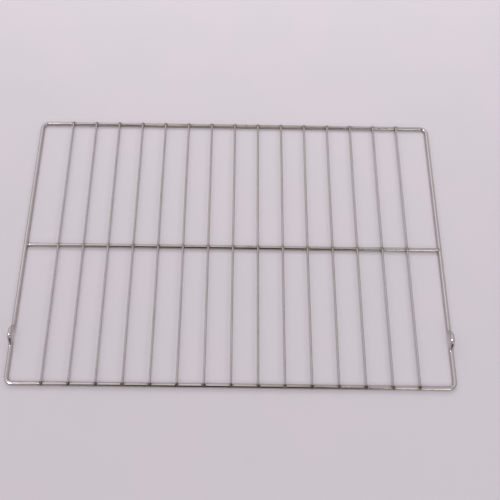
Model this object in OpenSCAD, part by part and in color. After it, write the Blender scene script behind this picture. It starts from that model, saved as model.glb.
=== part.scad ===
// Wire cooling rack for full-size sheet pans and rack guides.
// One bent and welded frame rod, one cross rod and a row of thin support wires.
// The origin is the middle of the rack on the surface that it lies on.
// +X runs along the long side, -Y is the side with the stop kinks, +Z is up.

/* [Frame] */
// Distance between the centrelines of the two side rods
frame_width = 650; // [630:1:700]
// Distance between the centrelines of the back rod and the front rod
frame_depth = 455.5; // [400:0.5:500]
// Diameter of the frame rod and of the cross rod
rod_d = 6.35; // [5:0.05:8]
// Centreline radius of the four corner bends
corner_r = 9.5; // [8:0.5:20]

/* [Cross rod] */
// Distance of the cross rod in front of the frame's middle
cross_offset = 3.5; // [-40:0.5:40]

/* [Stop kinks] */
// Rise of a kink's crest above its side rod, centreline to centreline
kink_rise = 12.7; // [9:0.1:18]
// Length of the crest between the two upper bend corners
kink_crest = 10; // [8:0.5:20]
// Distance from the front rod's centreline to the middle of a kink
kink_setback = 73; // [55:1:110]
// Centreline radius of the four bends in a kink
kink_bend_r = 7; // [5:0.5:7]

/* [Wires] */
// Number of support wires, always odd so that one lies in the middle
wire_count = 15; // [9:2:15]
// Distance between the centrelines of neighbouring wires
wire_pitch = 39; // [25:0.5:41]
// Diameter of a support wire
wire_d = 3; // [2:0.1:4]
// Length of wire past the centrelines of the back rod and the front rod
wire_overhang = 2; // [1:0.1:3]
// Depth by which a wire is pressed into the rods as it is welded
set_down = 0.25; // [0.1:0.05:0.4]

/* [Welds] */
// Thickness of the weld flash around a crossing of wire and rod
flash = 0.5; // [0.3:0.05:0.7]
// Thickness of the weld collar around an end of the cross rod
collar = 0.9; // [0.5:0.1:1.5]
// Length of the weld collar along the cross rod
collar_length = 3; // [2:0.5:5]
// Gap between the frame rod's two ends, filled by the butt weld
seam_gap = 0.8; // [0.4:0.1:1.5]
// Height of the butt weld's flash ring above the frame rod
seam_height = 0.35; // [0.2:0.05:0.6]
// Width of the butt weld's flash ring along the frame rod
seam_width = 2.4; // [1.8:0.1:4]
// Height above the underside, and distance inside the outer sides, to which weld metal is dressed
dressing = 0.6; // [0.4:0.1:1]

/* [Hidden] */
$fn = 64;

rod_r = rod_d / 2;
wire_r = wire_d / 2;
back_y = frame_depth / 2;
front_y = -frame_depth / 2;
cross_y = -cross_offset;
side_x = frame_width / 2;
wire_z = rod_d + wire_r - set_down;
wire_span = frame_depth + 2 * wire_overhang;

// A kink's flanks rise 4 for every 3 along the side rod
kink_slope = atan2(4, 3);
// A kink is laid out on its bend corners, and each bend takes away one tangent length
kink_tangent = kink_bend_r * tan(kink_slope / 2);
kink_half_base = kink_crest / 2 + kink_rise / tan(kink_slope);
kink_flank = kink_rise / sin(kink_slope) - 2 * kink_tangent;
kink_flat = kink_crest - 2 * kink_tangent;
side_behind_kink = frame_depth - corner_r - kink_setback - kink_half_base - kink_tangent;
side_before_kink = kink_setback - kink_half_base - kink_tangent - corner_r;

// Depth by which the cross rod's ends nest against the side rods
nest = 0.8;
cross_reach = side_x - rod_r + nest;
// The butt weld lies midway between the middle wire and its neighbour
seam_x = wire_pitch / 2;

// Directions of a bend about the rod's own axis
INWARD = 0;
UP = -90;
DOWN = 90;

function wire_name(number) = str("wire_", number < 10 ? "0" : "", number);
function wire_x(number) = (number - (wire_count + 1) / 2) * wire_pitch;

// One stage of bending: a straight length, then a bend of an angle in a direction
function stage(length, direction, angle, radius) = [length, direction, angle, radius];

function side_rod_stages(first, last) = [
    stage(first, UP, kink_slope, kink_bend_r),
    stage(kink_flank, DOWN, kink_slope, kink_bend_r),
    stage(kink_flat, DOWN, kink_slope, kink_bend_r),
    stage(kink_flank, UP, kink_slope, kink_bend_r),
    stage(last, INWARD, 90, corner_r)
];

// The frame rod runs round from one side of the butt weld to the other
frame_stages = concat(
    [stage(side_x - corner_r - seam_x - seam_gap / 2, INWARD, 90, corner_r)],
    side_rod_stages(side_behind_kink, side_before_kink),
    [stage(frame_width - 2 * corner_r, INWARD, 90, corner_r)],
    side_rod_stages(side_before_kink, side_behind_kink),
    [stage(side_x - corner_r + seam_x - seam_gap / 2, INWARD, 0, corner_r)]
);

// A rod bent stage by stage, starting at the origin along +Z
module bent_rod(stages, diameter, index = 0) {
    if (index < len(stages)) {
        length = stages[index][0];
        direction = stages[index][1];
        angle = stages[index][2];
        radius = stages[index][3];
        cylinder(h = length, d = diameter);
        if (angle > 0)
            translate([0, 0, length])
                rotate([0, 0, direction]) {
                    bend(angle, radius, diameter);
                    translate([radius, 0, 0])
                        rotate([0, angle, 0])
                            translate([-radius, 0, 0])
                                rotate([0, 0, -direction])
                                    bent_rod(stages, diameter, index + 1);
                }
    }
}

// A bend that starts at the origin along +Z and turns towards +X.
// It is a quarter turn cut back to its angle, so its end meets the next length squarely.
module bend(angle, radius, diameter) {
    reach = radius + diameter;
    translate([radius, 0, 0])
        rotate([90, 0, 180])
            difference() {
                rotate_extrude(angle = 90)
                    translate([radius, 0])
                        circle(d = diameter);
                if (angle < 90)
                    rotate([0, 0, angle])
                        translate([0, 0, -diameter])
                            cube([reach, reach, 2 * diameter]);
            }
}

// A round bar along X about a middle point
module bar_along_x(middle, length, radius) {
    translate(middle)
        rotate([0, 90, 0])
            cylinder(h = length, r = radius, center = true);
}

// A round bar along Y about a middle point
module bar_along_y(middle, length, radius) {
    translate(middle)
        rotate([90, 0, 0])
            cylinder(h = length, r = radius, center = true);
}

// The three rods that the wires lie across
module crossed_rods() {
    for (y = [back_y, cross_y, front_y])
        bar_along_x([0, y, rod_r], frame_width - 2 * corner_r, rod_r);
}

module frame_rod() {
    color("lightslategray")
        translate([seam_x + seam_gap / 2, back_y, rod_r])
            rotate([-90, 0, 0])
                rotate([0, 90, 0])
                    bent_rod(frame_stages, rod_d);
}

module cross_rod() {
    color("slategray")
        difference() {
            bar_along_x([0, cross_y, rod_r], 2 * cross_reach, rod_r);
            for (x = [-side_x, side_x])
                bar_along_y([x, cross_y, rod_r], 4 * rod_d, rod_r);
        }
}

// Weld metal dressed back from the frame's underside and outer sides
module dressed() {
    width = frame_width + rod_d - 2 * dressing;
    depth = frame_depth + rod_d - 2 * dressing;
    intersection() {
        children();
        translate([-width / 2, -depth / 2, dressing])
            cube([width, depth, 2 * rod_d]);
    }
}

// Weld collars at both ends of the cross rod, tapering away from the side rods
module cross_rod_welds() {
    color("dimgray")
        dressed()
            for (side = [-1, 1])
                difference() {
                    translate([side * cross_reach, cross_y, rod_r])
                        rotate([0, -90 * side, 0])
                            cylinder(h = collar_length, r1 = rod_r + collar, r2 = rod_r + collar / 3);
                    bar_along_x([0, cross_y, rod_r], frame_width, rod_r);
                    bar_along_y([side * side_x, cross_y, rod_r], 4 * rod_d, rod_r);
                }
}

// The butt weld that closes the frame rod: a filled gap with a flash ring around it
module frame_seam_weld() {
    color("dimgray") {
        bar_along_x([seam_x, back_y, rod_r], seam_gap, rod_r);
        dressed()
            difference() {
                bar_along_x([seam_x, back_y, rod_r], seam_width, rod_r + seam_height);
                bar_along_x([seam_x, back_y, rod_r], 2 * seam_width, rod_r);
            }
    }
}

// Flash squeezed out around the crossing of one wire and one rod
module crossing_weld(x, y) {
    difference() {
        intersection() {
            bar_along_x([x, y, rod_r], 2 * wire_d, rod_r + flash);
            bar_along_y([x, y, wire_z], 2 * rod_d, wire_r + flash);
        }
        bar_along_x([x, y, rod_r], 3 * wire_d, rod_r);
        bar_along_y([x, y, wire_z], 3 * rod_d, wire_r);
    }
}

module crossing_weld_row(y) {
    color("dimgray")
        for (number = [1:wire_count])
            crossing_weld(wire_x(number), y);
}

// A support wire, notched where it is pressed into the three rods
module wire(number) {
    color("silver")
        difference() {
            bar_along_y([wire_x(number), 0, wire_z], wire_span, wire_r);
            crossed_rods();
        }
}

frame_rod();
cross_rod();
cross_rod_welds();
frame_seam_weld();
crossing_weld_row(back_y);  // back_wire_welds
crossing_weld_row(cross_y);  // middle_wire_welds
crossing_weld_row(front_y);  // front_wire_welds
for (number = [1:wire_count])
    wire(number);
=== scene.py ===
"""Wire cooling rack: a bent frame rod, one cross rod and a row of thin support wires."""

import functools
import math
import random
from typing import NamedTuple

import bmesh
import bpy
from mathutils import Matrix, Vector, noise


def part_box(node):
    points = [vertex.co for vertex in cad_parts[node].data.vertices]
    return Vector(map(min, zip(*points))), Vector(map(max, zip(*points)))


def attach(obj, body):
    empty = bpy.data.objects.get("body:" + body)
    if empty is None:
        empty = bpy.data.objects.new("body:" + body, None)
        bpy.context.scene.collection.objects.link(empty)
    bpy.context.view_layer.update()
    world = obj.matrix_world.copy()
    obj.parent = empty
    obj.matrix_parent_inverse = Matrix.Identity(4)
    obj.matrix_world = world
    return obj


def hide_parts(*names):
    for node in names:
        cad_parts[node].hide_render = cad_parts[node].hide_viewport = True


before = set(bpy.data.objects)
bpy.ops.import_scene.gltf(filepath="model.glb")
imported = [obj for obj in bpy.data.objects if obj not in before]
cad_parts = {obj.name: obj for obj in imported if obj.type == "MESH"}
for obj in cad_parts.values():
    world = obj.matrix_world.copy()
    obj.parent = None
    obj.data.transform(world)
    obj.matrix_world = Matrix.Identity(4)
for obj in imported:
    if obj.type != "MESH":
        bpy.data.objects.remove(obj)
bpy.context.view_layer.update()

bl_info = {
    "name": "Cooling Rack",
    "version": (1, 0, 0),
    "blender": (4, 5, 0),
    "location": "View3D > Sidebar > Cooling Rack",
    "description": "Makes a plated wire cooling rack around its packed model",
    "category": "Add Mesh",
}

MM = 0.001
BODY = "root"
RUN = "rod_run"

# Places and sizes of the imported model's parts
FRAME_LOW, FRAME_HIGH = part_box("frame_rod")
CROSS_LOW, CROSS_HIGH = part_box("cross_rod")
SEAM_LOW, SEAM_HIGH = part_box("frame_seam_weld")
COLLAR_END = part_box("cross_rod_welds")[1].x
WIRE_NAMES = sorted(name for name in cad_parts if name.startswith("wire_"))
WIRE_BOXES = [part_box(name) for name in WIRE_NAMES]
WIRE_LOW, WIRE_HIGH = WIRE_BOXES[0]

ROD_RADIUS = (CROSS_HIGH.z - CROSS_LOW.z) / 2
SIDE_X = FRAME_HIGH.x - ROD_RADIUS
BACK_Y = FRAME_HIGH.y - ROD_RADIUS
FRONT_Y = FRAME_LOW.y + ROD_RADIUS
CROSS_Y = (CROSS_LOW.y + CROSS_HIGH.y) / 2
SEAM_X = (SEAM_LOW.x + SEAM_HIGH.x) / 2
KINK_RISE = FRAME_HIGH.z - 2 * ROD_RADIUS

WIRE_RADIUS = (WIRE_HIGH.x - WIRE_LOW.x) / 2
WIRE_HEIGHT = WIRE_HIGH.z - WIRE_RADIUS
WIRE_PLACES = [(low.x + high.x) / 2 for low, high in WIRE_BOXES]
WIRE_PITCH = WIRE_PLACES[1] - WIRE_PLACES[0]
ROWS = {"back_wire_welds": BACK_Y, "middle_wire_welds": CROSS_Y, "front_wire_welds": FRONT_Y}


# --- Sizes and colours ---


def length_prop(name, description, default, low=0.0, high=2.0):
    return number_prop(
        name, description, default, low, high, subtype="DISTANCE", unit="LENGTH", precision=5
    )


def share_prop(name, description, default, low=0.0, high=1.0):
    return number_prop(name, description, default, low, high, subtype="FACTOR")


def colour_prop(name, description, default):
    return bpy.props.FloatVectorProperty(
        name=name, description=description, default=default, min=0.0, max=1.0,
        size=3, subtype="COLOR",
    )


def count_prop(name, description, default, low, high):
    return bpy.props.IntProperty(
        name=name, description=description, default=default, min=low, max=high
    )


def number_prop(name, description, default, low, high, **kinds):
    return bpy.props.FloatProperty(
        name=name, description=description, default=default, min=low, max=high, **kinds
    )


def power_prop(name, description, default):
    return number_prop(name, description, default, 0.0, 500.0, subtype="POWER", unit="POWER")


def angle_prop(name, description, default, low, high):
    return number_prop(name, description, default, low, high, subtype="ANGLE", unit="ROTATION")


class RackRodSettings(bpy.types.PropertyGroup):
    """Sizes of the frame rod and the cross rod"""

    corner_radius: length_prop("Corner Radius", "Centreline radius of the corner bends", 9.5 * MM)
    kink_crest: length_prop("Kink Crest", "Crest length between its bend corners", 10 * MM)
    kink_setback: length_prop("Kink Setback", "Front rod to the middle of a kink", 73 * MM)
    kink_bend: length_prop("Kink Bend", "Centreline radius of the bends in a kink", 7 * MM)
    kink_slope: angle_prop("Kink Slope", "Slope of a kink's flanks", math.atan2(4, 3), 0.3, 1.4)
    seam_gap: length_prop("Seam Gap", "Gap between the rod's ends in the butt weld", 0.8 * MM)
    sides: count_prop("Sides", "Faces around a rod", 28, 8, 64)
    ring_step: length_prop("Ring Step", "Distance between a straight rod's rings", 6 * MM)
    flattening: share_prop("Bend Flattening", "Share of its width lost in a bend", 0.05)
    unevenness: share_prop("Unevenness", "Uneven thickness of a drawn rod", 0.008)


class RackWireSettings(bpy.types.PropertyGroup):
    """Sizes of the support wires"""

    sides: count_prop("Sides", "Faces around a wire", 24, 6, 32)
    rings: count_prop("Rings", "Rings along a wire", 300, 20, 800)
    bow: length_prop("Bow", "Largest sideways bow of a wire", 0.35 * MM)
    chamfer: length_prop("End Chamfer", "Worn edge around a cut end", 0.28 * MM)
    shear: share_prop("End Shear", "Slope of a sheared end", 0.3)
    press: length_prop("Press Depth", "Depth of the electrode's flat above a weld", 0.22 * MM)
    press_reach: length_prop("Press Reach", "Half the length of the electrode's flat", 3.4 * MM)
    seed: count_prop("Seed", "Seed of the wires' small differences", 11, 0, 9999)


class RackWeldSettings(bpy.types.PropertyGroup):
    """Sizes of the welds"""

    width: length_prop("Nugget Width", "Half width of a crossing weld along the rod", 2.2 * MM)
    length: length_prop("Nugget Length", "Half length of a weld along the wire", 2.5 * MM)
    thickness: length_prop("Nugget Thickness", "Half thickness of a crossing weld", 0.78 * MM)
    lumpiness: length_prop("Lumpiness", "Height of the lumps on weld metal", 0.16 * MM)
    crown: length_prop("Collar Crown", "Height of a collar above the cross rod", 0.5 * MM)
    fillet: length_prop("Collar Fillet", "Height of a collar at the rod's sides", 1.1 * MM)
    ripples: count_prop("Ripples", "Ripples around a weld collar", 15, 0, 60)
    seed: count_prop("Seed", "Seed of the welds' small differences", 23, 0, 9999)


class RackFinishSettings(bpy.types.PropertyGroup):
    """Colours of the plated steel and the welds"""

    rod_steel: colour_prop("Rod Steel", "Clean plating on the rods", (0.57, 0.53, 0.53))
    wire_steel: colour_prop("Wire Steel", "Clean plating on the wires", (0.51, 0.475, 0.495))
    olive: colour_prop("Olive Tarnish", "Baked film on the plating", (0.41, 0.375, 0.30))
    # Brown is also the colour of the painted shade on the rods' undersides
    brown: colour_prop("Brown Tarnish", "Heavier baked film", (0.28, 0.24, 0.20))
    weld: colour_prop("Weld Metal", "Plated weld metal", (0.45, 0.42, 0.39))
    scale: colour_prop("Weld Scale", "Dark scale in and beside the welds", (0.10, 0.085, 0.07))
    # The cut ends' near-black is partly oxide, partly painted shade and dark reflection
    cut_end_and_shade: colour_prop("Cut End", "Sheared steel at the wire ends", (0.10, 0.088, 0.078))
    # Tarnish also sets how much painted shade darkens the rods' undersides
    tarnish: share_prop("Tarnish", "How much of the plating is tarnished", 0.85)
    rod_gloss: share_prop("Rod Roughness", "Roughness of the plated rods", 0.12)
    wire_gloss: share_prop("Wire Roughness", "Roughness of the plated wires", 0.18)


class RackStageSettings(bpy.types.PropertyGroup):
    """Floor, lights and camera"""

    floor_size: length_prop("Floor Size", "Side length of the square floor", 40.0, 1.0, 50.0)
    floor: colour_prop("Floor", "Colour of the pale floor", (0.73, 0.665, 0.715))
    surround: colour_prop("Surround", "Colour of the soft light all around", (0.98, 0.97, 1.0))
    surround_strength: number_prop(
        "Surround Strength", "Strength of the soft light all around", 0.85, 0.0, 10.0
    )
    card: share_prop("Dark Card", "Brightness left before the dark card behind the camera", 0.0)
    diffuse_share: share_prop(
        "Diffuse Share", "Share of the surround's light that falls on dull surfaces", 0.6
    )
    backdrop: colour_prop("Backdrop", "Pale colour behind the floor", (0.52, 0.485, 0.52))
    key_power: power_prop("Key Power", "Power of the small key softbox", 14.0)
    ceiling_power: power_prop("Ceiling Power", "Power of the broad ceiling softbox", 11.5)
    fill_power: power_prop("Fill Power", "Power of the low strip light", 3.2)
    front_strength: number_prop(
        "Front Strength", "Strength of the even light above the camera", 0.95, 0.0, 10.0
    )
    front_spread: angle_prop(
        "Front Spread", "Width of the even light as seen from the rack", 0.45, 0.0, 3.0
    )
    camera_place: bpy.props.FloatVectorProperty(
        name="Camera Place", description="Where the camera stands", size=3,
        default=(0.0057, -0.5236, 1.0210), subtype="TRANSLATION", unit="LENGTH",
    )
    camera_turn: bpy.props.FloatVectorProperty(
        name="Camera Turn", description="How the camera is turned", size=3, subtype="EULER",
        default=[math.radians(degrees) for degrees in (24.528, -0.748, 0.498)],
    )
    lens: number_prop("Lens", "Focal length of the camera in millimetres", 52.345, 10.0, 300.0)
    lens_rise: number_prop("Lens Rise", "Upward shift of the lens", 0.0595, -0.5, 0.5)
    lens_slide: number_prop("Lens Slide", "Sideways shift of the lens", 0.0154, -0.5, 0.5)


class RackSettings(bpy.types.PropertyGroup):
    """All settings of the cooling rack"""

    rods: bpy.props.PointerProperty(type=RackRodSettings, name="Rods")
    wires: bpy.props.PointerProperty(type=RackWireSettings, name="Wires")
    welds: bpy.props.PointerProperty(type=RackWeldSettings, name="Welds")
    finish: bpy.props.PointerProperty(type=RackFinishSettings, name="Finish")
    stage: bpy.props.PointerProperty(type=RackStageSettings, name="Stage")


# --- Node building ---


# How nodes are laid out in a tree: in rows that step down and start again at the top
NODE_WIDTH, NODE_DROP, NODE_ROWS = 170, 90, 6


class Bench:
    """Puts nodes into one tree and joins them up"""

    def __init__(self, tree):
        self.tree = tree

    def put(self, kind, inputs=None, **settings):
        """One node. Inputs are values or other nodes' outputs, by socket name or number."""
        made = self.tree.nodes.new(kind)
        column = len(self.tree.nodes) - 1
        made.location = (column * NODE_WIDTH, -NODE_DROP * (column % NODE_ROWS))
        for key, value in settings.items():
            setattr(made, key, value)
        self.fill(made.inputs, inputs or {})
        return made

    def fill(self, sockets, values):
        """Sets sockets, by name or number, or joins other nodes' outputs to them."""
        for key, value in values.items():
            if isinstance(key, int):
                socket = sockets[key]
            else:
                socket = next(s for s in sockets if s.enabled and s.name == key)
            if isinstance(value, bpy.types.NodeSocket):
                self.tree.links.new(value, socket)
            else:
                socket.default_value = value

    def out(self, kind, inputs=None, output=0, **settings):
        """One output of a new node."""
        return self.put(kind, inputs, **settings).outputs[output]

    def math(self, operation, *values):
        values = dict(enumerate(values))
        return self.out("ShaderNodeMath", values, operation=operation)

    def times(self, *values):
        return functools.reduce(functools.partial(self.math, "MULTIPLY"), values)

    def minus(self, first, second):
        return self.math("SUBTRACT", first, second)

    def vector(self, operation, *values):
        values = dict(enumerate(values))
        return self.out("ShaderNodeVectorMath", values, operation=operation)

    def place(self):
        return self.out("ShaderNodeTexCoord", output="Object")

    def shift(self, geometry, *offset):
        """Geometry with its points moved by x, y and z."""
        return self.out("GeometryNodeSetPosition", {
            "Geometry": geometry, "Offset": self.xyz(*offset),
        })

    def coat(self, geometry, finish, selection=True):
        """Geometry with a finish on its selected faces."""
        return self.out("GeometryNodeSetMaterial", {
            "Geometry": geometry, "Selection": selection, "Material": finish,
        })

    def xyz(self, x=0.0, y=0.0, z=0.0):
        return self.out("ShaderNodeCombineXYZ", {"X": x, "Y": y, "Z": z})

    def split(self, vector):
        return self.put("ShaderNodeSeparateXYZ", {0: vector}).outputs

    def fade(self, value, start, stop, low=0.0, high=1.0):
        """A smooth step from low at start to high at stop."""
        return self.out(
            "ShaderNodeMapRange",
            {"Value": value, "From Min": start, "From Max": stop, "To Min": low, "To Max": high},
            interpolation_type="SMOOTHSTEP",
        )

    def blend(self, share, first, second):
        """A colour that goes from first to second."""
        made = self.put(
            "ShaderNodeMix", {"Factor": share, "A": first, "B": second}, data_type="RGBA"
        )
        return next(s for s in made.outputs if s.enabled)

    def noise(self, vector, scale, detail=2.0, rough=0.5):
        return self.out(
            "ShaderNodeTexNoise",
            {"Vector": vector, "Scale": scale, "Detail": detail, "Roughness": rough},
        )


def rgba(colour):
    return (*colour[:3], 1.0)


def add_object(name, data):
    """An object in the scene's own collection."""
    made = bpy.data.objects.new(name, data)
    bpy.context.scene.collection.objects.link(made)
    return made


def made_once(store, name):
    """The maker below runs once, and later calls find its tree or material by its name."""

    def wrap(make):
        @functools.wraps(make)
        def fetch():
            return getattr(bpy.data, store).get(name) or make(name)

        return fetch

    return wrap


def named_tree(name, kind, inputs, outputs):
    """An empty node tree with named inputs and outputs, and its bench and two ends."""
    tree = bpy.data.node_groups.new(name, kind)
    for label, socket_type, value in inputs:
        socket = tree.interface.new_socket(name=label, in_out="INPUT", socket_type=socket_type)
        if value is not None:
            socket.default_value = value
    for label, socket_type in outputs:
        tree.interface.new_socket(name=label, in_out="OUTPUT", socket_type=socket_type)
    bench = Bench(tree)
    entry = bench.put("NodeGroupInput").outputs
    ending = bench.put("NodeGroupOutput").inputs
    return tree, bench, entry, ending


FLOAT = "NodeSocketFloat"
COLOUR = "NodeSocketColor"
COUNT = "NodeSocketInt"
SHAPE = "NodeSocketGeometry"
MATERIAL = "NodeSocketMaterial"


# The three rows of crossings, as inputs of the trees that need them
ROW_LABELS = ("Back Row", "Middle Row", "Front Row")
ROW_SOCKETS = [(label, FLOAT, y) for label, y in zip(ROW_LABELS, ROWS.values())]


# --- Effects shared by the finishes ---

BLACK = (0.0, 0.0, 0.0, 1.0)
STRAW_TINT = (0.40, 0.34, 0.24, 1.0)
BROWN_TINT = (0.23, 0.18, 0.16, 1.0)
# Distances from a crossing at which straw, brown and scale start and are full
HEAT_BANDS = ((8.5 * MM, 3.0 * MM), (5.0 * MM, 2.2 * MM), (3.4 * MM, 1.4 * MM))
# Where the front row's dark spot, partly weld burn and partly painted shade, starts and is full:
# by distance from a crossing, and from the front row
BURN_AND_SHADE_SPOT = (2.3 * MM, 1.2 * MM)
FRONT_ROW_ONLY = (8 * MM, 4 * MM)


@made_once("node_groups", "Drawn Grain")
def drawn_grain(name):
    """Fine streaks along a drawn rod, and its slow unevenness."""
    tree, bench, entry, ending = named_tree(
        name, "ShaderNodeTree",
        [("Along", FLOAT, 25.0), ("Across", FLOAT, 2600.0), ("Wave", FLOAT, 90.0)],
        [("Height", FLOAT), ("Streaks", FLOAT)],
    )
    run = bench.out("ShaderNodeAttribute", output="Vector", attribute_name=RUN)
    stretch = bench.xyz(entry["Along"], entry["Across"], entry["Across"])
    streaks = bench.noise(bench.vector("MULTIPLY", run, stretch), 1.0, 3.0, 0.6)
    slow = bench.vector("MULTIPLY", run, bench.xyz(entry["Wave"], 160.0, 160.0))
    waves = bench.noise(slow, 1.0, 1.0)
    height = bench.math("MULTIPLY_ADD", streaks, 0.16, waves)
    bench.fill(ending, {"Height": height, "Streaks": streaks})
    return tree


@made_once("node_groups", "Baked Film")
def baked_film(name):
    """Olive and brown film baked on to the plating in soft patches, and brown painted shade on
    the rods' lower sides.
    """
    tree, bench, entry, ending = named_tree(
        name, "ShaderNodeTree",
        [("Clean", COLOUR, None), ("Olive", COLOUR, None), ("Brown", COLOUR, None),
         ("Patches", FLOAT, 7.0), ("Amount", FLOAT, 0.6), ("Underside", FLOAT, 0.0)],
        [("Colour", COLOUR), ("Film", FLOAT)],
    )
    place = bench.place()
    x, y, z = bench.split(place)
    # The film, and the painted shade on the undersides, are thinner towards the side rods
    thin = bench.fade(bench.math("ABSOLUTE", x), 0.85 * SIDE_X, 0.3 * SIDE_X, 0.25, 1.0)
    amount = bench.times(entry["Amount"], thin)
    broad = bench.noise(place, entry["Patches"], 3.0, 0.55)
    olive = bench.times(bench.fade(broad, 0.30, 0.60), amount)
    # The brown patches are finer, and lie elsewhere than the olive ones
    other = bench.vector("ADD", place, (3.1, 1.7, 0.4))
    patch = bench.noise(other, bench.times(entry["Patches"], 3.3), 4.0, 0.6)
    brown = bench.times(bench.fade(patch, 0.5, 0.78), amount)
    specks = bench.fade(bench.noise(place, 900.0, 3.0, 0.7), 0.6, 0.8, 0.0, 0.5)
    brown = bench.math("MAXIMUM", brown, bench.times(specks, amount))
    # Painted shade: each rod's lower side is darkened with brown, more towards the bottom
    uneven = bench.math("MULTIPLY_ADD", bench.minus(patch, 0.5), 3 * MM, z)
    painted_under_shade = bench.fade(uneven, 1.5 * ROD_RADIUS, 0.7 * ROD_RADIUS)
    brown = bench.math("MAXIMUM", brown, bench.times(painted_under_shade, entry["Underside"], amount))
    colour = bench.blend(olive, entry["Clean"], entry["Olive"])
    colour = bench.blend(brown, colour, entry["Brown"])
    # The film is duller towards the back rod
    haze = bench.fade(y, CROSS_Y + 0.25 * BACK_Y, 0.9 * BACK_Y, 1.0, 4.8)
    film = bench.times(bench.math("MAXIMUM", olive, brown), haze)
    bench.fill(ending, {"Colour": colour, "Film": film})
    return tree


@made_once("node_groups", "Weld Heat")
def weld_heat(name):
    """Straw, brown and grey bands around every crossing of a wire and a rod, and a dark spot on
    the front row that is partly weld burn, partly painted shade.
    """
    tree, bench, entry, ending = named_tree(
        name, "ShaderNodeTree",
        [("Base", COLOUR, None), ("Scale", COLOUR, None), ("Reach", FLOAT, 1.0),
         ("Pitch", FLOAT, WIRE_PITCH), ("Outermost", FLOAT, (len(WIRE_PLACES) - 1) / 2),
         *ROW_SOCKETS],
        [("Colour", COLOUR), ("Heat", FLOAT)],
    )
    place = bench.place()
    x, y, z = bench.split(place)
    number = bench.math("ROUND", bench.math("DIVIDE", x, entry["Pitch"]))
    number = bench.math("MINIMUM", number, entry["Outermost"])
    number = bench.math("MAXIMUM", number, bench.times(entry["Outermost"], -1.0))
    across = bench.minus(x, bench.times(number, entry["Pitch"]))
    rows = [bench.math("ABSOLUTE", bench.minus(y, entry[row])) for row in ROW_LABELS]
    along = functools.reduce(functools.partial(bench.math, "MINIMUM"), rows)
    away = bench.out("ShaderNodeVectorMath", {0: bench.xyz(across, along)}, "Value",
                     operation="LENGTH")
    ragged = bench.minus(bench.noise(place, 420.0, 3.0, 0.6), 0.5)
    away = bench.math("MULTIPLY_ADD", ragged, 6 * MM, away)
    away = bench.math("DIVIDE", away, entry["Reach"])
    straw, brown, scale = [bench.fade(away, *band) for band in HEAT_BANDS]
    colour = bench.blend(bench.times(straw, 0.35), entry["Base"], STRAW_TINT)
    colour = bench.blend(bench.times(brown, 0.32), colour, BROWN_TINT)
    colour = bench.blend(bench.times(scale, 0.25), colour, entry["Scale"])
    # The front row's welds are darker on top: partly weld burn, partly painted shade at the
    # wires' front ends
    by_front = bench.minus(away, bench.fade(rows[-1], *FRONT_ROW_ONLY, 0.0, 0.4 * MM))
    burn_and_shade = bench.times(bench.fade(by_front, *BURN_AND_SHADE_SPOT),
                        bench.fade(rows[-1], *FRONT_ROW_ONLY, 0.0, 0.95),
                        bench.fade(z, ROD_RADIUS, 1.7 * ROD_RADIUS))
    colour = bench.blend(burn_and_shade, colour, bench.blend(0.5, entry["Scale"], BLACK))
    bench.fill(ending, {"Colour": colour, "Heat": brown})
    return tree


@made_once("node_groups", "Handling Wear")
def handling_wear(name):
    """Scuffs and tiny pits from racks sliding over each other."""
    tree, bench, entry, ending = named_tree(
        name, "ShaderNodeTree",
        [("Scuffs", FLOAT, 220.0), ("Pits", FLOAT, 1500.0)],
        [("Scuff", FLOAT), ("Pit Height", FLOAT)],
    )
    place = bench.place()
    turned = bench.vector("MULTIPLY", place, (1.0, 1.0, 4.0))
    scuff = bench.fade(bench.noise(turned, entry["Scuffs"], 4.0, 0.7), 0.56, 0.72)
    pits = bench.put("ShaderNodeTexVoronoi", {"Vector": place, "Scale": entry["Pits"]})
    pit = bench.fade(pits.outputs["Distance"], 0.05, 0.28, -1.0, 0.0)
    bench.fill(ending, {"Scuff": scuff, "Pit Height": pit})
    return tree


def use_group(bench, group, inputs=None):
    return bench.put("ShaderNodeGroup", inputs, node_tree=group).outputs


# --- Finishes ---


def start_finish(name):
    """A material with only its output and a Principled BSDF."""
    finish = bpy.data.materials.new(name)
    finish.use_nodes = True
    finish.node_tree.nodes.clear()
    bench = Bench(finish.node_tree)
    shader = bench.put("ShaderNodeBsdfPrincipled")
    output = bench.put("ShaderNodeOutputMaterial", {"Surface": shader.outputs["BSDF"]})
    finish.node_tree.nodes.active = output
    return finish, bench, shader.inputs


def cover(bench, shader, colour, roughness, metallic, height, strength, distance):
    """Joins a finish's colour, roughness and bump to its shader."""
    bump = bench.out("ShaderNodeBump", {
        "Height": height, "Strength": strength, "Distance": distance,
    })
    bench.fill(shader, {
        "Base Color": colour, "Roughness": roughness, "Metallic": metallic, "Normal": bump,
    })


def tinted(colour, *shares):
    """A colour with each of its parts multiplied by its share, and kept below white."""
    return rgba([min(1, part * share) for part, share in zip(colour, shares)])


def baked_and_heated(bench, clean, patches, tarnish, under_shade, reach):
    """The baked film's outputs, with its painted shade on the undersides, and the weld heat's on
    top of it.
    """
    colours = bpy.context.scene.cooling_rack.finish
    film = use_group(bench, baked_film(), {
        "Clean": rgba(clean), "Olive": rgba(colours.olive), "Brown": rgba(colours.brown),
        "Patches": patches, "Amount": tarnish, "Underside": under_shade,
    })
    heat = use_group(bench, weld_heat(), {
        "Base": film["Colour"], "Scale": rgba(colours.scale), "Reach": reach,
    })
    return film, heat


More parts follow.
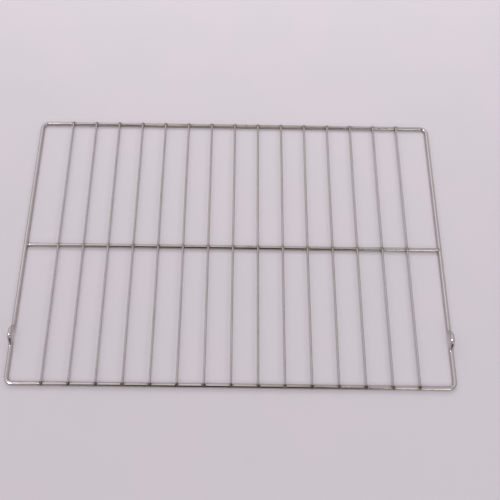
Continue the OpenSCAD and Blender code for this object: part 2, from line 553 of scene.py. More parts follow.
def plated_steel(name, clean, roughness, patches, tarnish, reach):
    """Plated drawn steel: grain, baked film with painted shade on its underside, weld heat with
    painted shade at the front row, and wear.
    """
    finish, bench, shader = start_finish(name)
    grain = use_group(bench, drawn_grain())
    # 0.9 is the share of painted shade on the rods' undersides
    film, heat = baked_and_heated(bench, clean, patches, tarnish, 0.9, reach)
    wear = use_group(bench, handling_wear())
    streaked = bench.fade(grain["Streaks"], 0.3, 0.75, 0.0, 0.22)
    colour = bench.blend(streaked, heat["Colour"], tinted(clean, 0.55, 0.55, 0.55))
    colour = bench.blend(bench.times(wear["Scuff"], 0.25), colour,
                         tinted(clean, 1.25, 1.25, 1.25))
    dull = roughness
    for mask, dulling in ((film["Film"], 0.09), (heat["Heat"], 0.14), (wear["Scuff"], 0.06)):
        dull = bench.math("MULTIPLY_ADD", mask, dulling, dull)
    height = bench.math("MULTIPLY_ADD", wear["Pit Height"], 0.25, grain["Height"])
    cover(bench, shader, colour, dull, 1.0, height, 0.35, 0.03 * MM)
    return finish


@made_once("materials", "plated_rod_steel")
def rod_finish(name):
    colours = bpy.context.scene.cooling_rack.finish
    return plated_steel(name, colours.rod_steel, colours.rod_gloss, 5.5, colours.tarnish, 1.1)


@made_once("materials", "plated_wire_steel")
def wire_finish(name):
    colours = bpy.context.scene.cooling_rack.finish
    return plated_steel(name, colours.wire_steel, colours.wire_gloss, 8.0,
                        0.5 * colours.tarnish, 0.9)


@made_once("materials", "plated_weld_metal")
def weld_metal(name):
    """Plated weld metal: lumpy, with dark scale in its hollows."""
    colours = bpy.context.scene.cooling_rack.finish
    finish, bench, shader = start_finish(name)
    lumps = bench.noise(bench.place(), 900.0, 4.0, 0.6)
    scaly = bench.fade(lumps, 0.38, 0.62)
    wear = use_group(bench, handling_wear(), {"Scuffs": 600.0, "Pits": 2600.0})
    _, heat = baked_and_heated(bench, colours.weld, 60.0, colours.tarnish, 0.0, 1.0)
    colour = bench.blend(bench.times(scaly, 0.4), heat["Colour"], rgba(colours.scale))
    dull = bench.math("MULTIPLY_ADD", scaly, 0.12, 0.46)
    height = bench.math("MULTIPLY_ADD", wear["Pit Height"], 0.12, lumps)
    cover(bench, shader, colour, dull, 1.0, height, 0.55, 0.14 * MM)
    return finish


@made_once("materials", "sheared_wire_steel_and_shade")
def cut_steel_and_shade(name):
    """Sheared wire ends: torn across, with a little brown, and near-black partly as oxide, partly
    as painted shade and dark reflection.
    """
    colours = bpy.context.scene.cooling_rack.finish
    finish, bench, shader = start_finish(name)
    torn = bench.vector("MULTIPLY", bench.place(), (2600.0, 400.0, 500.0))
    tears = bench.noise(torn, 1.0, 3.0, 0.65)
    colour = bench.blend(bench.fade(tears, 0.45, 0.75), rgba(colours.cut_end_and_shade),
                         rgba(colours.brown))
    wear = use_group(bench, handling_wear(), {"Scuffs": 900.0, "Pits": 3200.0})
    dull = bench.math("MULTIPLY_ADD", tears, 0.2, 0.5)
    height = bench.math("MULTIPLY_ADD", wear["Pit Height"], 0.5, tears)
    cover(bench, shader, colour, dull, 0.85, height, 0.4, 0.08 * MM)
    return finish


def floor_finish(pale):
    """A plain pale floor with a faint mottle."""
    finish, bench, shader = start_finish("pale_floor")
    place = bench.place()
    mottle = bench.fade(bench.noise(place, 6.0, 3.0), 0.35, 0.7)
    colour = bench.blend(mottle, rgba(pale), tinted(pale, 0.97, 1.0, 0.98))
    cover(bench, shader, colour, 0.75, 0.0, bench.noise(place, 1800.0, 3.0), 0.15, 0.1 * MM)
    shader["Specular IOR Level"].default_value = 0.25
    return finish


# --- Rods ---

# Worn edge around a rod's end, and the largest angle between the rings of a bend
END_EDGE = 0.35 * MM
BEND_STEP = math.radians(5.0)
# How quickly a drawn rod's thickness varies along it and around it
THICKNESS_ALONG, THICKNESS_AROUND = 22, 0.9


class RodPath:
    """The centreline of a rod, laid down one length or bend at a time"""

    def __init__(self, start, ring_step):
        self.place = Vector(start)
        self.heading = 0.0
        self.climb = 0.0
        self.run = 0.0
        self.ring_step = ring_step
        self.rings = []
        self.mark()

    def forward(self):
        level = math.cos(self.climb)
        return Vector((
            math.cos(self.heading) * level, math.sin(self.heading) * level, math.sin(self.climb),
        ))

    def mark(self, level_squash=0.0, upright_squash=0.0):
        """Keeps a ring: its place, its two directions, its run and how far a bend squashes it."""
        aside = Vector((-math.sin(self.heading), math.cos(self.heading), 0.0))
        upright = self.forward().cross(aside)
        self.rings.append(
            (self.place.copy(), aside, upright, self.run, level_squash, upright_squash)
        )

    def advance(self, length):
        self.place += self.forward() * length
        self.run += length

    def steer(self, turn, climb):
        self.heading += turn
        self.climb += climb

    def straight(self, length):
        steps = max(1, math.ceil(length / self.ring_step))
        for _ in range(steps):
            self.advance(length / steps)
            self.mark()

    def bend(self, radius, turn=0.0, climb=0.0):
        """Turns level by turn, or climbs by climb, around an arc."""
        angle = abs(turn or climb)
        steps = math.ceil(angle / BEND_STEP)
        chord = 2 * radius * math.sin(angle / steps / 2)
        for step in range(1, steps + 1):
            self.steer(turn / steps / 2, climb / steps / 2)
            self.advance(chord)
            self.steer(turn / steps / 2, climb / steps / 2)
            squash = math.sin(math.pi * step / steps) ** 0.5 if step < steps else 0.0
            self.mark(squash if turn else 0.0, squash if climb else 0.0)


def lay_frame_path(rods):
    """The frame rod's path, from one side of the butt weld round to the other."""
    slope = rods.kink_slope
    tangent = rods.kink_bend * math.tan(slope / 2)
    half_base = rods.kink_crest / 2 + KINK_RISE / math.tan(slope)
    flank = KINK_RISE / math.sin(slope) - 2 * tangent
    flat = rods.kink_crest - 2 * tangent
    corner = rods.corner_radius
    depth = BACK_Y - FRONT_Y
    behind = depth - corner - rods.kink_setback - half_base - tangent
    before = rods.kink_setback - half_base - tangent - corner
    half_gap = rods.seam_gap / 2

    path = RodPath((SEAM_X + half_gap, BACK_Y, ROD_RADIUS), rods.ring_step)

    def side_rod(first, last):
        for length, climb in ((first, slope), (flank, -slope), (flat, -slope), (flank, slope)):
            path.straight(length)
            path.bend(rods.kink_bend, climb=climb)
        path.straight(last)

    def turn_corner():
        path.bend(corner, turn=-math.pi / 2)

    path.straight(SIDE_X - corner - SEAM_X - half_gap)
    turn_corner()
    side_rod(behind, before)
    turn_corner()
    path.straight(2 * (SIDE_X - corner))
    turn_corner()
    side_rod(before, behind)
    turn_corner()
    path.straight(SIDE_X - corner + SEAM_X - half_gap)
    return path.rings


def keep_in_frame(place):
    """A point moved back inside the frame rod's outer faces and on to the floor."""
    return Vector((
        min(max(place.x, FRAME_LOW.x), FRAME_HIGH.x),
        min(max(place.y, FRAME_LOW.y), FRAME_HIGH.y),
        max(place.z, 0.0),
    ))


def make_mesh_piece(name, places, faces, runs, flat_faces, finish):
    """A closed mesh object, smooth but for its flat faces, with the run along its rod."""
    mesh = bpy.data.meshes.new(name)
    mesh.from_pydata([tuple(p) for p in places], [], faces)
    if runs:
        layer = mesh.attributes.new(RUN, "FLOAT_VECTOR", "POINT")
        layer.data.foreach_set("vector", [part for run in runs for part in run])
    for face in mesh.polygons:
        face.use_smooth = face.index not in flat_faces
    shell = bmesh.new()
    shell.from_mesh(mesh)
    bmesh.ops.recalc_face_normals(shell, faces=shell.faces)
    shell.to_mesh(mesh)
    shell.free()
    mesh.materials.append(finish)
    return add_object(name, mesh)


def sweep_rod(name, rings, rods, finish):
    """A round rod around its path, uneven by a hair and squashed a little in its bends."""
    sides = rods.sides
    # Each end has three rings: its worn edge, the full size behind it and one to keep it crisp
    rings = 2 * [rings[0]] + rings + 2 * [rings[-1]]
    last = len(rings) - 1
    places, runs = [], []
    for index, (place, aside, upright, run, level_squash, upright_squash) in enumerate(rings):
        radius = ROD_RADIUS - (END_EDGE if index in (0, last) else 0.0)
        if index < 3:
            place = place + aside.cross(upright) * END_EDGE * index
        elif last - index < 3:
            place = place - aside.cross(upright) * END_EDGE * (last - index)
        for side in range(sides):
            angle = math.tau * side / sides
            level, tall = math.cos(angle), math.sin(angle)
            spot = noise.noise(Vector(
                (run * THICKNESS_ALONG, level * THICKNESS_AROUND, tall * THICKNESS_AROUND)
            ))
            uneven = radius * (1 - rods.unevenness * (0.5 + 0.5 * spot))
            level_part = aside * level * uneven * (1 - rods.flattening * level_squash)
            upright_part = upright * tall * uneven * (1 - rods.flattening * upright_squash)
            places.append(keep_in_frame(place + level_part + upright_part))
            runs.append((run, level * radius, tall * radius))
    faces = []
    for ring in range(last):
        here, there = ring * sides, (ring + 1) * sides
        for side in range(sides):
            following = (side + 1) % sides
            faces.append((here + side, here + following, there + following, there + side))
    caps = {len(faces), len(faces) + 1}
    faces.append(tuple(range(sides)))
    faces.append(tuple(range(len(places) - sides, len(places))))
    return make_mesh_piece(name, places, faces, runs, caps, finish)


# A collar's distance inside the cross rod's end in millimetres, and its height as a share of
# its own where it is above the rod or in millimetres where it is below
COLLAR_PROFILE = (
    (-1.4, -0.5), (-1.5, 0.55), (-0.7, 0.92), (0.0, 1.0), (0.7, 0.86), (1.4, 0.6),
    (2.1, 0.33), (2.7, 0.13), (3.1, 0.02), (3.2, -0.15), (3.0, -0.5),
)
COLLAR_RIPPLE, COLLAR_LUMP = 0.10, 0.22
# The butt weld's flash, from one edge to the other as a share of half its width, and its
# height as a share of its own
SEAM_PROFILE = (
    (-1.0, 0.02), (-0.8, 0.35), (-0.45, 0.85), (-0.12, 0.55), (0.2, 0.95), (0.55, 0.7),
    (0.85, 0.3), (1.0, 0.02),
)
SEAM_ROOT, SEAM_LUMP = 0.6 * MM, 0.3
# Faces around a collar and around the butt weld
COLLAR_SIDES, SEAM_SIDES = 120, 96


def weld_ring(profile, centre_y, height_at, sides):
    """A closed ring of weld metal around a rod along X, from its (x, height) profile."""
    count = len(profile)
    places = []
    for side in range(sides):
        angle = math.tau * side / sides
        for x, height in profile:
            radius = ROD_RADIUS + (height * height_at(angle, x) if height > 0 else height)
            places.append(keep_in_frame(Vector((
                x, centre_y + radius * math.cos(angle), ROD_RADIUS + radius * math.sin(angle),
            ))))
    faces = []
    for side in range(sides):
        here, there = side * count, (side + 1) % sides * count
        for step in range(count):
            following = (step + 1) % count
            faces.append((here + step, here + following, there + following, there + step))
    return places, faces


def finish_piece(piece, nodes):
    """A finished piece rides with the rack and stands for its nodes."""
    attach(piece, BODY)
    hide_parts(*nodes)


# --- Geometry Nodes ---


@made_once("node_groups", "Support Wire")
def wire_tree(name):
    """One support wire: bowed a hair, pressed flat over its welds and sheared at its ends."""
    tree, bench, entry, ending = named_tree(
        name, "GeometryNodeTree",
        [("Place", FLOAT, 0.0), ("Height", FLOAT, WIRE_HEIGHT), ("Back End", FLOAT, 0.2),
         ("Front End", FLOAT, -0.2), ("Radius", FLOAT, WIRE_RADIUS), ("Rings", COUNT, 300),
         ("Sides", COUNT, 16), ("Bow", FLOAT, 0.0), ("Sway", FLOAT, 0.0),
         ("Chamfer", FLOAT, 0.0003), ("Shear", FLOAT, 0.3), ("Press Depth", FLOAT, 0.0002),
         ("Press Reach", FLOAT, 0.003), *ROW_SOCKETS, ("Seed", FLOAT, 0.0),
         ("Wire Finish", MATERIAL, None), ("End Finish", MATERIAL, None)],
        [("Wire", SHAPE)],
    )
    math_, times, minus, xyz = bench.math, bench.times, bench.minus, bench.xyz
    line = bench.out("GeometryNodeCurvePrimitiveLine", {
        "Start": xyz(entry["Place"], entry["Back End"], entry["Height"]),
        "End": xyz(entry["Place"], entry["Front End"], entry["Height"]),
    })
    rings = bench.out("GeometryNodeResampleCurve", {"Curve": line, "Count": entry["Rings"]})
    share = bench.out("GeometryNodeSplineParameter", output="Factor")
    index = bench.out("GeometryNodeInputIndex", output="Index")
    half = math_("SINE", times(share, math.pi))
    whole = math_("SINE", times(share, math.tau))
    aside = math_("MULTIPLY_ADD", half, entry["Bow"], times(whole, entry["Sway"]))
    moved = bench.shift(rings, aside)
    # The ring next to each end moves up to it, and the end's own ring is smaller: a worn edge
    last = minus(entry["Rings"], 1.0)
    at_ends = 0.0
    for count, end, sign in ((index, "Back End", -1.0), (minus(last, index), "Front End", 1.0)):
        edge = math_("MULTIPLY_ADD", entry["Chamfer"], sign, entry[end])
        moved = bench.out("GeometryNodeSetPosition", {
            "Geometry": moved, "Selection": math_("COMPARE", count, 1.0, 0.1),
            "Position": xyz(entry["Place"], edge, entry["Height"]),
        })
        at_ends = math_("MAXIMUM", at_ends, math_("LESS_THAN", count, 0.5))
    worn = math_("DIVIDE", entry["Chamfer"], entry["Radius"])
    girth = minus(1.0, times(at_ends, worn))
    circle = bench.out("GeometryNodeCurvePrimitiveCircle", {
        "Resolution": entry["Sides"], "Radius": entry["Radius"],
    })
    tube = bench.out("GeometryNodeCurveToMesh", {
        "Curve": moved, "Profile Curve": circle, "Scale": girth, "Fill Caps": True,
    })

    x, y, z = bench.split(bench.out("GeometryNodeInputPosition"))
    from_x, from_z = minus(x, entry["Place"]), minus(z, entry["Height"])
    run = bench.out("GeometryNodeStoreNamedAttribute", {
        "Geometry": tube, "Name": RUN,
        "Value": xyz(math_("ADD", y, entry["Seed"]), from_x, from_z),
    }, data_type="FLOAT_VECTOR", domain="POINT")

    # The electrode presses the top flat over each weld, and the wire spreads a little there
    pressed = 0.0
    for row in ROW_LABELS:
        away = math_("ABSOLUTE", minus(y, entry[row]))
        flat = bench.fade(away, entry["Press Reach"], times(entry["Press Reach"], 0.35))
        pressed = math_("MAXIMUM", pressed, flat)
    ceiling = minus(entry["Radius"], times(entry["Press Depth"], pressed))
    over = math_("MAXIMUM", minus(from_z, ceiling), 0.0)
    flattened = bench.shift(run, times(from_x, pressed, 0.06), 0.0, times(over, -1.0))

    # Each end leans back towards its top
    cut_back = times(entry["Shear"], math_("ADD", from_z, entry["Radius"]))
    reach = times(entry["Chamfer"], 1.2)
    by_back = math_("GREATER_THAN", y, minus(entry["Back End"], reach))
    by_front = math_("LESS_THAN", y, math_("ADD", entry["Front End"], reach))
    sheared = bench.shift(flattened, 0.0, times(cut_back, minus(by_front, by_back)))

    corners = bench.out("GeometryNodeInputMeshFaceNeighbors", output="Vertex Count")
    is_cap = math_("GREATER_THAN", corners, 4.5)
    smooth = bench.out("GeometryNodeSetShadeSmooth", {
        "Geometry": sheared, "Shade Smooth": minus(1.0, is_cap),
    })
    real = bench.out("GeometryNodeRealizeInstances", {"Geometry": smooth})
    plated = bench.coat(real, entry["Wire Finish"])
    bench.fill(ending, {"Wire": bench.coat(plated, entry["End Finish"], is_cap)})
    return tree


# A nugget's middle above the rod's top, its sag around the rod, and its lumps' fineness
NUGGET_LIFT, NUGGET_SAG, NUGGET_FINENESS = 0.05 * MM, 0.35, 900.0
# Largest turn of a nugget, and its smallest and largest size as shares of its own
NUGGET_TURN = 0.22
SMALLEST_NUGGET, LARGEST_NUGGET = (0.88, 0.88, 0.9), (1.1, 1.12, 1.06)


@made_once("node_groups", "Crossing Welds")
def crossing_weld_tree(name):
    """A row of crossing welds: one squeezed nugget under every wire, each a little different."""
    tree, bench, entry, ending = named_tree(
        name, "GeometryNodeTree",
        [("Count", COUNT, 15), ("First", FLOAT, 0.0), ("Pitch", FLOAT, WIRE_PITCH),
         ("Row", FLOAT, 0.0), ("Height", FLOAT, 2 * ROD_RADIUS), ("Half Width", FLOAT, 0.002),
         ("Half Length", FLOAT, 0.0025), ("Half Thickness", FLOAT, 0.0008),
         ("Sag", FLOAT, 0.0), ("Lumpiness", FLOAT, 0.0001), ("Fineness", FLOAT, 900.0),
         ("Seed", COUNT, 0), ("Weld Finish", MATERIAL, None)],
        [("Welds", SHAPE)],
    )
    math_, times, minus, xyz = bench.math, bench.times, bench.minus, bench.xyz
    row = bench.out("GeometryNodeMeshLine", {
        "Count": entry["Count"], "Offset": xyz(entry["Pitch"]),
        "Start Location": xyz(entry["First"], entry["Row"], entry["Height"]),
    })
    ball = bench.out("GeometryNodeMeshIcoSphere", {"Radius": 1.0, "Subdivisions": 4})
    nugget = bench.out("GeometryNodeTransform", {
        "Geometry": ball,
        "Scale": xyz(entry["Half Width"], entry["Half Length"], entry["Half Thickness"]),
    })
    turn = bench.out("FunctionNodeRandomValue", {
        2: -NUGGET_TURN, 3: NUGGET_TURN, "Seed": entry["Seed"],
    }, 1, data_type="FLOAT")
    size = bench.out("FunctionNodeRandomValue", {
        0: SMALLEST_NUGGET, 1: LARGEST_NUGGET, "Seed": math_("ADD", entry["Seed"], 7.0),
    }, data_type="FLOAT_VECTOR")
    turned = bench.out("FunctionNodeEulerToRotation", {0: xyz(0.0, 0.0, turn)})
    welds = bench.out("GeometryNodeInstanceOnPoints", {
        "Points": row, "Instance": nugget, "Rotation": turned, "Scale": size,
    })
    real = bench.out("GeometryNodeRealizeInstances", {"Geometry": welds})
    place = bench.out("GeometryNodeInputPosition")
    # A nugget sags around the rod below it, and is lumpy
    from_row = minus(bench.split(place)[1], entry["Row"])
    drop = times(from_row, from_row, entry["Sag"])
    draped = bench.shift(real, 0.0, 0.0, times(drop, -1.0))
    lumps = minus(bench.noise(place, entry["Fineness"], 3.0, 0.55), 0.5)
    normal = bench.out("GeometryNodeInputNormal")
    lumpy = bench.out("ShaderNodeVectorMath", {
        0: normal, "Scale": times(lumps, times(entry["Lumpiness"], 2.0)),
    }, operation="SCALE")
    shaped = bench.out("GeometryNodeSetPosition", {"Geometry": draped, "Offset": lumpy})
    smooth = bench.out("GeometryNodeSetShadeSmooth", {"Geometry": shaped, "Shade Smooth": True})
    bench.fill(ending, {"Welds": bench.coat(smooth, entry["Weld Finish"])})
    return tree


def grow(name, tree, values):
    """The plain mesh object that a Geometry Nodes tree makes from the given input values."""
    seed_mesh = bpy.data.meshes.new(name + ".seed")
    holder = add_object(name + ".seed", seed_mesh)
    grower = holder.modifiers.new(tree.name, "NODES")
    grower.node_group = tree
    sockets = {
        item.name: item.identifier for item in tree.interface.items_tree
        if item.item_type == "SOCKET" and item.in_out == "INPUT"
    }
    for label, value in values.items():
        grower[sockets[label]] = value
    layers = bpy.context.evaluated_depsgraph_get()
    grown = bpy.data.meshes.new_from_object(
        holder.evaluated_get(layers), preserve_all_data_layers=True, depsgraph=layers
    )
    grown.name = name
    holder.modifiers.remove(grower)
    bpy.data.objects.remove(holder)
    bpy.data.meshes.remove(seed_mesh)
    if not grown.polygons:
        raise RuntimeError(f"{name}: its Geometry Nodes tree made no faces")
    return add_object(name, grown)


# --- Operators ---


class COOLINGRACK_OT_frame_rod(bpy.types.Operator):
    """Make the bent frame rod, from one side of its butt weld round to the other"""

    bl_idname = "cooling_rack.frame_rod"
    bl_label = "Frame Rod"
    bl_options = {"REGISTER", "UNDO"}

    def execute(self, context):
        rods = context.scene.cooling_rack.rods
        piece = sweep_rod("bent_frame_rod", lay_frame_path(rods), rods, rod_finish())
        finish_piece(piece, ["frame_rod"])
        return {"FINISHED"}


class COOLINGRACK_OT_cross_rod(bpy.types.Operator):
    """Make the straight cross rod between the side rods"""

    bl_idname = "cooling_rack.cross_rod"
    bl_label = "Cross Rod"
    bl_options = {"REGISTER", "UNDO"}

    def execute(self, context):
        rods = context.scene.cooling_rack.rods
        path = RodPath((CROSS_LOW.x, CROSS_Y, ROD_RADIUS), rods.ring_step)
        path.straight(CROSS_HIGH.x - CROSS_LOW.x)
        piece = sweep_rod("straight_cross_rod", path.rings, rods, rod_finish())
        finish_piece(piece, ["cross_rod"])
        return {"FINISHED"}


class COOLINGRACK_OT_wires(bpy.types.Operator):
    """Make the row of support wires, each with its own small differences"""

    bl_idname = "cooling_rack.wires"
    bl_label = "Support Wires"
    bl_options = {"REGISTER", "UNDO"}

    def execute(self, context):
        wires = context.scene.cooling_rack.wires
        chance = random.Random(wires.seed)
        for node, place, (low, high) in zip(WIRE_NAMES, WIRE_PLACES, WIRE_BOXES):
            piece = grow("plated_" + node, wire_tree(), {
                "Place": place, "Height": WIRE_HEIGHT, "Back End": high.y, "Front End": low.y,
                "Radius": WIRE_RADIUS, "Rings": wires.rings, "Sides": wires.sides,
                "Bow": chance.uniform(-1, 1) * wires.bow,
                "Sway": chance.uniform(-0.6, 0.6) * wires.bow,
                "Chamfer": wires.chamfer, "Shear": wires.shear * chance.uniform(0.8, 1.15),
                "Press Depth": wires.press * chance.uniform(0.7, 1.2),
                "Press Reach": wires.press_reach, "Seed": chance.uniform(0, 9),
                **dict(zip(ROW_LABELS, ROWS.values())),
                "Wire Finish": wire_finish(), "End Finish": cut_steel_and_shade(),
            })
            finish_piece(piece, [node])
        return {"FINISHED"}


class COOLINGRACK_OT_crossing_welds(bpy.types.Operator):
    """Make the three rows of welds where the wires cross the rods"""

    bl_idname = "cooling_rack.crossing_welds"
    bl_label = "Crossing Welds"
    bl_options = {"REGISTER", "UNDO"}

    def execute(self, context):
        welds = context.scene.cooling_rack.welds
        for number, (node, row) in enumerate(ROWS.items()):
            piece = grow(node.replace("welds", "nuggets"), crossing_weld_tree(), {
                "Count": len(WIRE_PLACES), "First": WIRE_PLACES[0], "Pitch": WIRE_PITCH,
                "Row": row, "Height": 2 * ROD_RADIUS + NUGGET_LIFT, "Half Width": welds.width,
                "Half Length": welds.length, "Half Thickness": welds.thickness,
                "Sag": NUGGET_SAG / (2 * ROD_RADIUS), "Lumpiness": welds.lumpiness,
                "Fineness": NUGGET_FINENESS, "Seed": welds.seed + number,
                "Weld Finish": weld_metal(),
            })
            finish_piece(piece, [node])
        return {"FINISHED"}


class COOLINGRACK_OT_cross_rod_welds(bpy.types.Operator):
    """Make the rippled weld collars at both ends of the cross rod"""

    bl_idname = "cooling_rack.cross_rod_welds"
    bl_label = "Cross Rod Welds"
    bl_options = {"REGISTER", "UNDO"}

    def execute(self, context):
        welds = context.scene.cooling_rack.welds
        places, faces = [], []
        for hand in (-1, 1):
            profile = [
                (hand * (COLLAR_END - along * MM), height if height > 0 else height * MM)
                for along, height in COLLAR_PROFILE
            ]

            def height_at(angle, x):
                """The collar is taller at the rod's sides, rippled and a little lumpy."""
                side_share = abs(math.cos(angle)) ** 0.7
                height = welds.crown + (welds.fillet - welds.crown) * side_share
                spot = Vector((x * 500, math.cos(angle) * 1.4, math.sin(angle) * 1.4 + 9 * hand))
                lump = noise.noise(spot * 1.3)
                ripple = math.sin(welds.ripples * angle + abs(x) * 900 + 2.5 * lump)
                return height * (1 + COLLAR_RIPPLE * ripple + COLLAR_LUMP * lump)

            ring, ring_faces = weld_ring(profile, CROSS_Y, height_at, COLLAR_SIDES)
            faces += [tuple(corner + len(places) for corner in face) for face in ring_faces]
            places += ring
        piece = make_mesh_piece("cross_rod_collars", places, faces, None, set(), weld_metal())
        finish_piece(piece, ["cross_rod_welds"])
        return {"FINISHED"}


class COOLINGRACK_OT_seam_weld(bpy.types.Operator):
    """Make the butt weld that closes the frame rod, with its dressed flash"""

    bl_idname = "cooling_rack.seam_weld"
    bl_label = "Frame Seam Weld"
    bl_options = {"REGISTER", "UNDO"}

    def execute(self, context):
        half = (SEAM_HIGH.x - SEAM_LOW.x) / 2
        height = SEAM_HIGH.z - 2 * ROD_RADIUS
        profile = [(SEAM_X + half * along, height * tall) for along, tall in SEAM_PROFILE]
        profile += [(SEAM_X + side * 0.9 * half, -SEAM_ROOT) for side in (1, -1)]

        def height_at(angle, x):
            spot = Vector((x * 700, math.cos(angle) * 2.2, math.sin(angle) * 2.2))
            return 1 + SEAM_LUMP * noise.noise(spot)

        places, faces = weld_ring(profile, BACK_Y, height_at, SEAM_SIDES)
        piece = make_mesh_piece("frame_butt_weld", places, faces, None, set(), weld_metal())
        finish_piece(piece, ["frame_seam_weld"])
        return {"FINISHED"}


class Softbox(NamedTuple):
    """A rectangular lamp, and the kind of reflection that doesn't see it"""

    name: str
    place: tuple
    aim: tuple
    size: tuple
    power: str
    colour: tuple
    unseen_by: str


SOFTBOXES = (
    Softbox("key_softbox", (-1.05, -0.42, 1.55), (0, 0, 0), (0.32, 0.32), "key_power",
            (1.0, 0.98, 0.95), "visible_diffuse"),
    Softbox("ceiling_softbox", (0, 1.25, 1.1), (0, 1.25, 0), (2.6, 0.9), "ceiling_power",
            (1.0, 0.99, 1.0), "visible_glossy"),
    Softbox("fill_strip", (0.86, -1.55, 0.98), (0.2, 0, 0), (0.6, 0.26), "fill_power",
            (1.0, 0.99, 0.98), ""),
)
FRONT_LIGHT_PLACE = (0, -1.6, 3.0)

# The dark card stands behind the camera: a low wide part, by its height and depth, and a tall
# narrow part, by its height, half width and depth
LOW_HEIGHT, LOW_DEPTH = (0.19, 0.07), (0.25, 0.65)
TALL_HEIGHT, TALL_WIDTH, TALL_DEPTH = (0.985, 0.86), (0.34, 0.12), (0.0, 0.25)
# The surround is brighter above and behind the rack, brightest in a window at the back left,
# and dimmer on the right
SKY_TILT, SKY_LIFT = 0.35, (-0.3, 1.0, 0.72, 1.0)
WINDOW_PLACE, WINDOW_LIFT = (-0.26, 0.52, 0.81), (0.93, 0.985, 0.0, 0.45)
RIGHT_DIMMING = (0.0, 0.35, 1.0, 0.84)


def lay_floor(stage):
    """The square floor that the rack lies on."""
    half = stage.floor_size / 2
    mesh = bpy.data.meshes.new("pale_floor")
    corners = [(-half, -half, 0), (half, -half, 0), (half, half, 0), (-half, half, 0)]
    mesh.from_pydata(corners, [], [(0, 1, 2, 3)])
    mesh.materials.append(floor_finish(stage.floor))
    floor = add_object("pale_floor", mesh)


def light_surround(stage):
    """Soft light from everywhere but the dark card, and a plain backdrop behind the floor."""
    surround = bpy.data.worlds.new("soft_surround")
    surround.use_nodes = True
    surround.node_tree.nodes.clear()
    bench = Bench(surround.node_tree)
    towards = bench.out("ShaderNodeTexCoord", output="Generated")
    x, y, z = bench.split(towards)
    depth = bench.times(y, -1.0)
    low = bench.times(bench.fade(z, *LOW_HEIGHT), bench.fade(depth, *LOW_DEPTH))
    tall = bench.times(bench.fade(z, *TALL_HEIGHT),
                       bench.fade(bench.math("ABSOLUTE", x), *TALL_WIDTH),
                       bench.fade(depth, *TALL_DEPTH))
    card = bench.times(bench.math("MAXIMUM", low, tall), 1.0 - stage.card)
    window = bench.out("ShaderNodeVectorMath", {0: towards, 1: WINDOW_PLACE}, "Value",
                       operation="DOT_PRODUCT")
    lift = bench.fade(bench.math("MULTIPLY_ADD", y, SKY_TILT, z), *SKY_LIFT)
    lift = bench.math("ADD", lift, bench.fade(window, *WINDOW_LIFT))
    rays = bench.put("ShaderNodeLightPath").outputs
    strength = bench.times(
        lift, bench.fade(x, *RIGHT_DIMMING), bench.minus(1.0, card), stage.surround_strength,
        bench.fade(rays["Is Diffuse Ray"], 0.0, 1.0, 1.0, stage.diffuse_share),
    )
    glow = bench.out("ShaderNodeBackground", {
        "Color": rgba(stage.surround), "Strength": strength,
    })
    backdrop = bench.out("ShaderNodeBackground", {"Color": rgba(stage.backdrop)})
    either = bench.out("ShaderNodeMixShader", {0: rays["Is Camera Ray"], 1: glow, 2: backdrop})
    bench.put("ShaderNodeOutputWorld", {"Surface": either})
    bpy.context.scene.world = surround


def hang_lamp(light, place, aim):
    """The object of a light that points at its aim and isn't seen itself."""
    lamp = add_object(light.name, light)
    lamp.location = place
    lamp.rotation_euler = (Vector(aim) - Vector(place)).to_track_quat("-Z", "Y").to_euler()
    lamp.visible_camera = False
    return lamp


def hang_lights(stage):
    """The softboxes, and an even light from the front that only dull surfaces show."""
    for box in SOFTBOXES:
        light = bpy.data.lights.new(box.name, "AREA")
        light.shape = "RECTANGLE"
        light.size, light.size_y = box.size
        light.energy = getattr(stage, box.power)
        light.color = box.colour
        lamp = hang_lamp(light, box.place, box.aim)
        if box.unseen_by:
            setattr(lamp, box.unseen_by, False)
    even = bpy.data.lights.new("even_front_light", "SUN")
    even.energy = stage.front_strength
    even.angle = stage.front_spread
    hang_lamp(even, FRONT_LIGHT_PLACE, (0, 0, 0)).visible_glossy = False


def set_camera(stage):
    """The camera, which sees everything sharply."""
    lens = bpy.data.cameras.new("studio_camera")
    lens.lens = stage.lens
    lens.shift_x, lens.shift_y = stage.lens_slide, stage.lens_rise
    lens.clip_start, lens.clip_end = 0.02, 60.0
    camera = add_object("studio_camera", lens)
    camera.location = stage.camera_place
    camera.rotation_euler = stage.camera_turn
    bpy.context.scene.camera = camera


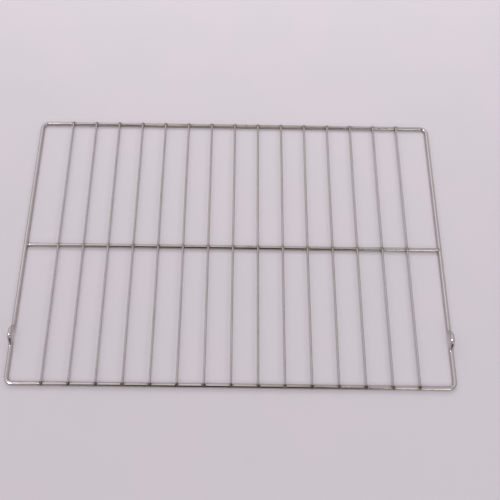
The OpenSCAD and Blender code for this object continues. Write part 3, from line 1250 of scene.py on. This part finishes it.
class COOLINGRACK_OT_stage(bpy.types.Operator):
    """Make the pale floor, the soft studio light and the camera"""

    bl_idname = "cooling_rack.stage"
    bl_label = "Stage"
    bl_options = {"REGISTER", "UNDO"}

    def execute(self, context):
        stage = context.scene.cooling_rack.stage
        for prepare in (lay_floor, light_surround, hang_lights, set_camera):
            prepare(stage)
        context.scene.view_settings.view_transform = "Standard"
        return {"FINISHED"}


class COOLINGRACK_PT_panel(bpy.types.Panel):
    """Lists the rack's pieces, their sizes and their colours"""

    bl_idname = "COOLINGRACK_PT_panel"
    bl_label = "Cooling Rack"
    bl_space_type = "VIEW_3D"
    bl_region_type = "UI"
    bl_category = "Cooling Rack"

    def draw(self, context):
        settings = context.scene.cooling_rack
        for operators, group in PANEL_ROWS:
            box = self.layout.box()
            for operator in operators:
                box.operator(operator.bl_idname)
            values = getattr(settings, group)
            for label in values.__annotations__:
                box.prop(values, label)


OPERATORS = (
    COOLINGRACK_OT_frame_rod,
    COOLINGRACK_OT_cross_rod,
    COOLINGRACK_OT_wires,
    COOLINGRACK_OT_crossing_welds,
    COOLINGRACK_OT_cross_rod_welds,
    COOLINGRACK_OT_seam_weld,
    COOLINGRACK_OT_stage,
)
PANEL_ROWS = (
    ((COOLINGRACK_OT_frame_rod, COOLINGRACK_OT_cross_rod), "rods"),
    ((COOLINGRACK_OT_wires,), "wires"),
    ((COOLINGRACK_OT_crossing_welds, COOLINGRACK_OT_cross_rod_welds, COOLINGRACK_OT_seam_weld),
     "welds"),
    ((), "finish"),
    ((COOLINGRACK_OT_stage,), "stage"),
)
CLASSES = (
    RackRodSettings,
    RackWireSettings,
    RackWeldSettings,
    RackFinishSettings,
    RackStageSettings,
    RackSettings,
    *OPERATORS,
    COOLINGRACK_PT_panel,
)


def register():
    for made in CLASSES:
        bpy.utils.register_class(made)
    bpy.types.Scene.cooling_rack = bpy.props.PointerProperty(type=RackSettings)


def unregister():
    del bpy.types.Scene.cooling_rack
    for made in reversed(CLASSES):
        bpy.utils.unregister_class(made)


def main():
    register()
    bpy.ops.cooling_rack.frame_rod()
    bpy.ops.cooling_rack.cross_rod()
    bpy.ops.cooling_rack.wires()
    bpy.ops.cooling_rack.crossing_welds()
    bpy.ops.cooling_rack.cross_rod_welds()
    bpy.ops.cooling_rack.seam_weld()
    bpy.ops.cooling_rack.stage()


if __name__ == "__main__":
    main()
